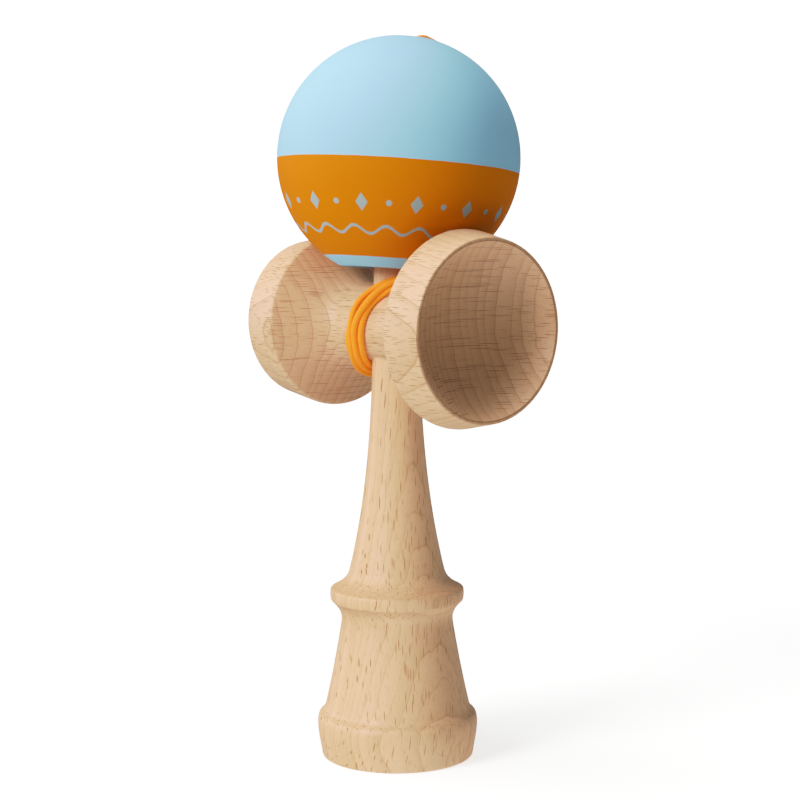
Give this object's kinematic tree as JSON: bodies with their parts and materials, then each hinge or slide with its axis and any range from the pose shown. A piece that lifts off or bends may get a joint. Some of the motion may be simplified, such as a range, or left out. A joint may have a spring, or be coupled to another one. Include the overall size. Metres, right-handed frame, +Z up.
{
  "type": "kendama",
  "caption": "Wooden cup-and-ball toy: turned handle with spike, cross piece with a big and a small cup, painted ball on the spike, tied by one orange string.",
  "frame": {"origin": "middle of the handle's foot, in the plane that it stands on", "axes": "+Z up along the handle to the spike, +X along the cross piece to the big cup, +Y to the back, where the string runs up behind the ball"},
  "size_m": [0.0722, 0.0629, 0.1835],
  "materials": {
    "ken_wood": "bare sanded beech, matt",
    "sarado_wood": "bare sanded beech, matt",
    "tama_paint": "wooden ball in matt soft-touch paint, light blue with an orange band",
    "bead": "plain small bead",
    "string": "braided synthetic cord, orange"
  },
  "bodies": {
    "handle": {"ken": "ken_wood", "sarado": "sarado_wood", "ken_knot": "string", "string_lead": "string", "string_winding": "string", "string_riser": "string"},
    "string_end": {"bead": "bead", "bead_knot": "string", "string_core": "string", "string_wrap": "string"},
    "ball": {"tama": "tama_paint"}
  },
  "joints": [
    {"name": "tama_lift", "type": "slide", "parent": "handle", "child": "string_end", "axis": [0, 0, 1], "range_m": [0, 0.05], "deforming": ["string_riser"]},
    {"name": "tama_spin", "type": "hinge", "parent": "string_end", "child": "ball", "pos_m": [0.00023, 0.00095, 0.15222], "axis": [0, 0.0906, 0.9959], "continuous": true}
  ]
}
